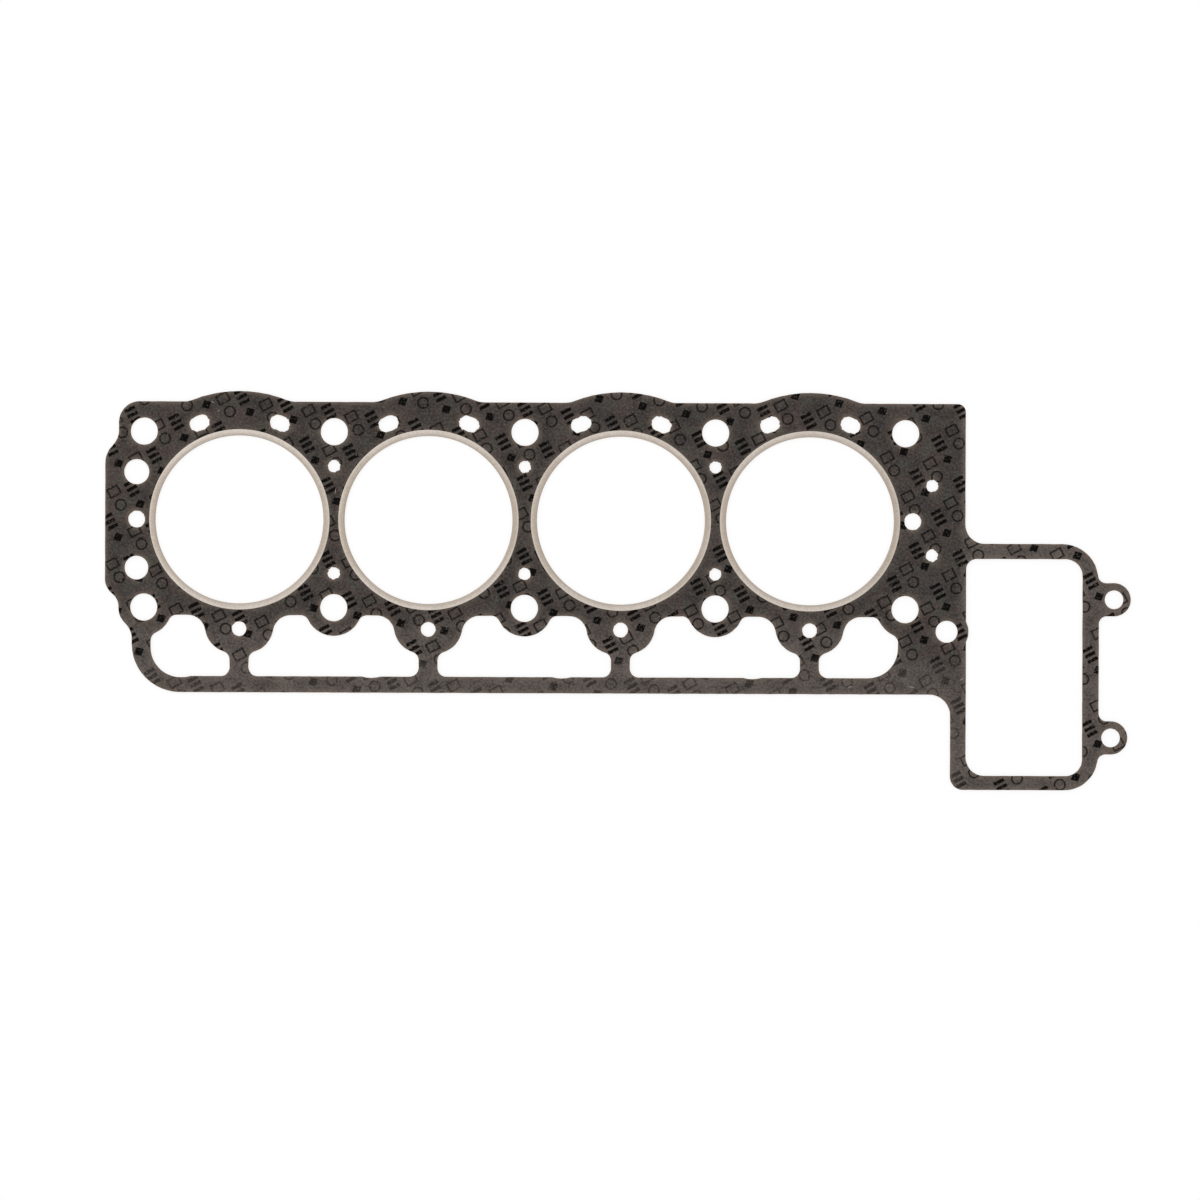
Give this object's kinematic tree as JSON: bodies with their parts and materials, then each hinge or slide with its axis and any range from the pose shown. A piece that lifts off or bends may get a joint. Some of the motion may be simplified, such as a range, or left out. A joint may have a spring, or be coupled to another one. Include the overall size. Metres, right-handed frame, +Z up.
{
  "type": "cylinder head gasket",
  "caption": "Flat engine head gasket: a thin dark punched sheet with metal-lined bores in a row, bolt, coolant and oil passages, and an open chain case frame at one end.",
  "frame": {"origin": "centre of the head bolt pattern, midway between the two middle bores, in the plane of the ring flanges that meet the block", "axes": "+X along the row of bores towards the chain case frame, +Y across the sheet towards the scalloped edge, +Z up from the block to the head"},
  "size_m": [0.513, 0.1982, 0.0014],
  "materials": {
    "gasket_board": "matt rubber-bound fibre sheet",
    "ring_metal": "satin, rolled"
  },
  "bodies": {
    "root": {"gasket_sheet": "gasket_board", "fire_ring_1": "ring_metal", "fire_ring_2": "ring_metal", "fire_ring_3": "ring_metal", "fire_ring_4": "ring_metal"}
  },
  "joints": []
}
